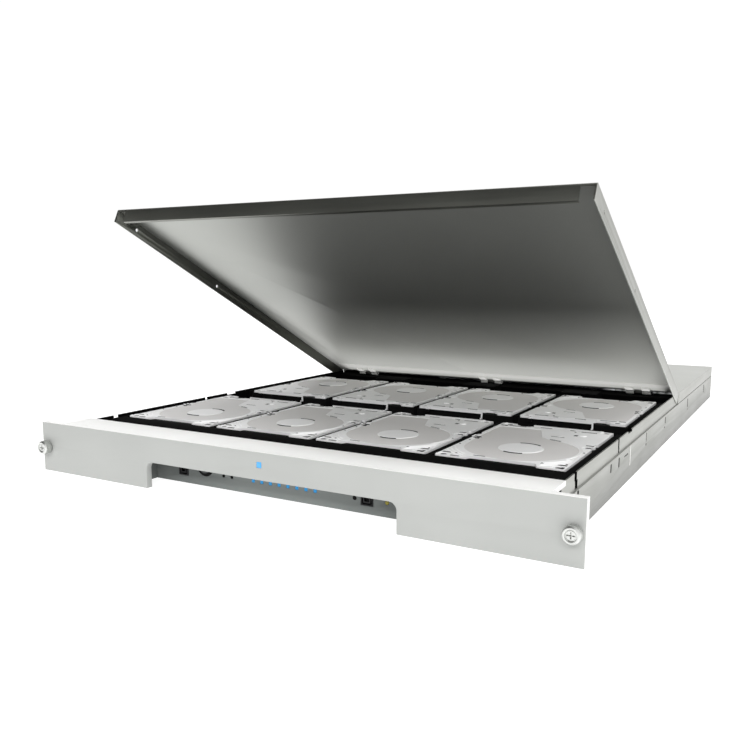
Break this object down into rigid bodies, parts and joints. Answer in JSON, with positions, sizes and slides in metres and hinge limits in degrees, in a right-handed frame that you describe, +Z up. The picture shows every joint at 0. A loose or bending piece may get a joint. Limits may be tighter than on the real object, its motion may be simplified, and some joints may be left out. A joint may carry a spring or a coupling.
{
  "type": "rack storage enclosure",
  "caption": "One-unit rack storage enclosure with a hinged lid over two rows of top-loaded drives, a cut-out front plate with a recessed control panel, and rear power supplies.",
  "frame": {"origin": "centre of the chassis floor's underside, at mid depth of the body (behind the front plate's face by half of 762 mm)", "axes": "+X to the right seen from the front, +Y towards the rear, +Z up"},
  "size_m": [0.4826, 0.788, 0.2325],
  "materials": {
    "chassis_paint": "fine satin light grey powder coat",
    "front_paint": "satin light grey paint",
    "hood_paint": "satin off-white paint",
    "lid_sheet": "light grey outside, bare brushed sheet inside",
    "panel_metal": "satin grey",
    "hardware_steel": "turned and plated",
    "drive_casting": "cast sides and a brushed cover",
    "latch_steel": "bright sheet",
    "frame_plastic": "matt black",
    "bulkhead_paint": "matt black paint",
    "board": "green circuit board",
    "backplane": "black circuit board and connectors",
    "heatsink": "extruded fins",
    "blue_light": "clear blue, lit",
    "amber_light": "clear amber",
    "release_tab": "green"
  },
  "bodies": {
    "chassis": {"chassis_tray": "chassis_paint", "front_bezel": "front_paint", "front_hood": "hood_paint", "io_panel": "panel_metal", "front_board": "board", "left_port": "frame_plastic", "right_port": "frame_plastic", "activity_lights": "blue_light", "fault_light": "amber_light", "status_light": "blue_light", "hinge_leaf_left": "hardware_steel", "hinge_leaf_centre": "hardware_steel", "hinge_leaf_right": "hardware_steel", "hinge_pin_left": "hardware_steel", "hinge_pin_centre": "hardware_steel", "hinge_pin_right": "hardware_steel", "rear_cover": "chassis_paint", "rear_panel": "chassis_paint", "mid_backplane": "backplane", "bay_frame_front": "frame_plastic", "bay_frame_rear": "frame_plastic", "fan_frame_1": "frame_plastic", "fan_frame_2": "frame_plastic", "fan_frame_3": "frame_plastic", "fan_bulkhead": "bulkhead_paint", "controller_board": "board", "cpu_heatsink": "heatsink", "rear_port_block": "hardware_steel"},
    "lid": {"lid": "lid_sheet"},
    "thumbscrew_left": {"thumbscrew_left": "hardware_steel"},
    "thumbscrew_right": {"thumbscrew_right": "hardware_steel"},
    "power_button": {"power_button": "frame_plastic"},
    "small_button_left": {"small_button_left": "frame_plastic"},
    "small_button_right": {"small_button_right": "frame_plastic"},
    "drive_1": {"drive_1": "drive_casting"},
    "drive_2": {"drive_2": "drive_casting"},
    "drive_3": {"drive_3": "drive_casting"},
    "drive_4": {"drive_4": "drive_casting"},
    "drive_5": {"drive_5": "drive_casting"},
    "drive_6": {"drive_6": "drive_casting"},
    "drive_7": {"drive_7": "drive_casting"},
    "drive_8": {"drive_8": "drive_casting"},
    "drive_latch_1": {"drive_latch_1": "latch_steel"},
    "drive_latch_2": {"drive_latch_2": "latch_steel"},
    "drive_latch_3": {"drive_latch_3": "latch_steel"},
    "drive_latch_4": {"drive_latch_4": "latch_steel"},
    "drive_latch_5": {"drive_latch_5": "latch_steel"},
    "drive_latch_6": {"drive_latch_6": "latch_steel"},
    "drive_latch_7": {"drive_latch_7": "latch_steel"},
    "drive_latch_8": {"drive_latch_8": "latch_steel"},
    "fan_rotor_1": {"fan_rotor_1": "frame_plastic"},
    "fan_rotor_2": {"fan_rotor_2": "frame_plastic"},
    "fan_rotor_3": {"fan_rotor_3": "frame_plastic"},
    "power_supply_left": {"power_supply_left": "hardware_steel"},
    "power_supply_right": {"power_supply_right": "hardware_steel"},
    "supply_latch_left": {"supply_latch_left": "release_tab"},
    "supply_latch_right": {"supply_latch_right": "release_tab"}
  },
  "joints": [
    {"name": "lid_hinge", "type": "hinge", "parent": "chassis", "child": "lid", "pos_m": [0, 0.0906, 0.0411], "axis": [-1, 0, 0], "range_deg": [-25.67, 70]},
    {"name": "thumbscrew_left_turn", "type": "hinge", "parent": "chassis", "child": "thumbscrew_left", "pos_m": [-0.2344, -0.381, 0.0218], "axis": [0, 1, 0], "continuous": true},
    {"name": "thumbscrew_right_turn", "type": "hinge", "parent": "chassis", "child": "thumbscrew_right", "pos_m": [0.2344, -0.381, 0.0218], "axis": [0, 1, 0], "continuous": true},
    {"name": "power_button_press", "type": "slide", "parent": "chassis", "child": "power_button", "axis": [0, 1, 0], "range_m": [0, 0.0015], "stiffness_N_per_m": 500},
    {"name": "small_button_left_press", "type": "slide", "parent": "chassis", "child": "small_button_left", "axis": [0, 1, 0], "range_m": [0, 0.0006], "stiffness_N_per_m": 300},
    {"name": "small_button_right_press", "type": "slide", "parent": "chassis", "child": "small_button_right", "axis": [0, 1, 0], "range_m": [0, 0.0006], "stiffness_N_per_m": 300},
    {"name": "drive_1_lift", "type": "slide", "parent": "chassis", "child": "drive_1", "axis": [0, 0, 1], "range_m": [0, 0.045]},
    {"name": "drive_2_lift", "type": "slide", "parent": "chassis", "child": "drive_2", "axis": [0, 0, 1], "range_m": [0, 0.045]},
    {"name": "drive_3_lift", "type": "slide", "parent": "chassis", "child": "drive_3", "axis": [0, 0, 1], "range_m": [0, 0.045]},
    {"name": "drive_4_lift", "type": "slide", "parent": "chassis", "child": "drive_4", "axis": [0, 0, 1], "range_m": [0, 0.045]},
    {"name": "drive_5_lift", "type": "slide", "parent": "chassis", "child": "drive_5", "axis": [0, 0, 1], "range_m": [0, 0.026]},
    {"name": "drive_6_lift", "type": "slide", "parent": "chassis", "child": "drive_6", "axis": [0, 0, 1], "range_m": [0, 0.026]},
    {"name": "drive_7_lift", "type": "slide", "parent": "chassis", "child": "drive_7", "axis": [0, 0, 1], "range_m": [0, 0.026]},
    {"name": "drive_8_lift", "type": "slide", "parent": "chassis", "child": "drive_8", "axis": [0, 0, 1], "range_m": [0, 0.026]},
    {"name": "drive_latch_1_turn", "type": "hinge", "parent": "drive_1", "child": "drive_latch_1", "pos_m": [-0.12225, -0.161, 0.0398], "axis": [0, 0, -1], "range_deg": [0, 25]},
    {"name": "drive_latch_2_turn", "type": "hinge", "parent": "drive_2", "child": "drive_latch_2", "pos_m": [-0.01545, -0.161, 0.0398], "axis": [0, 0, -1], "range_deg": [0, 25]},
    {"name": "drive_latch_3_turn", "type": "hinge", "parent": "drive_3", "child": "drive_latch_3", "pos_m": [0.08925, -0.161, 0.0398], "axis": [0, 0, -1], "range_deg": [0, 25]},
    {"name": "drive_latch_4_turn", "type": "hinge", "parent": "drive_4", "child": "drive_latch_4", "pos_m": [0.19605, -0.161, 0.0398], "axis": [0, 0, -1], "range_deg": [0, 25]},
    {"name": "drive_latch_5_turn", "type": "hinge", "parent": "drive_5", "child": "drive_latch_5", "pos_m": [-0.19825, -0.1211, 0.0398], "axis": [0, 0, -1], "range_deg": [0, 25]},
    {"name": "drive_latch_6_turn", "type": "hinge", "parent": "drive_6", "child": "drive_latch_6", "pos_m": [-0.09145, -0.1211, 0.0398], "axis": [0, 0, -1], "range_deg": [0, 25]},
    {"name": "drive_latch_7_turn", "type": "hinge", "parent": "drive_7", "child": "drive_latch_7", "pos_m": [0.01325, -0.1211, 0.0398], "axis": [0, 0, -1], "range_deg": [0, 25]},
    {"name": "drive_latch_8_turn", "type": "hinge", "parent": "drive_8", "child": "drive_latch_8", "pos_m": [0.12005, -0.1211, 0.0398], "axis": [0, 0, -1], "range_deg": [0, 25]},
    {"name": "fan_rotor_1_spin", "type": "hinge", "parent": "chassis", "child": "fan_rotor_1", "pos_m": [-0.12, 0.0555, 0.0215], "axis": [0, 1, 0], "continuous": true},
    {"name": "fan_rotor_2_spin", "type": "hinge", "parent": "chassis", "child": "fan_rotor_2", "pos_m": [0, 0.0555, 0.0215], "axis": [0, 1, 0], "continuous": true},
    {"name": "fan_rotor_3_spin", "type": "hinge", "parent": "chassis", "child": "fan_rotor_3", "pos_m": [0.12, 0.0555, 0.0215], "axis": [0, 1, 0], "continuous": true},
    {"name": "power_supply_left_slide", "type": "slide", "parent": "chassis", "child": "power_supply_left", "axis": [0, 1, 0], "range_m": [0, 0.23]},
    {"name": "power_supply_right_slide", "type": "slide", "parent": "chassis", "child": "power_supply_right", "axis": [0, 1, 0], "range_m": [0, 0.23]},
    {"name": "supply_latch_left_press", "type": "slide", "parent": "power_supply_left", "child": "supply_latch_left", "axis": [-1, 0, 0], "range_m": [0, 0.003], "stiffness_N_per_m": 400},
    {"name": "supply_latch_right_press", "type": "slide", "parent": "power_supply_right", "child": "supply_latch_right", "axis": [-1, 0, 0], "range_m": [0, 0.003], "stiffness_N_per_m": 400}
  ]
}
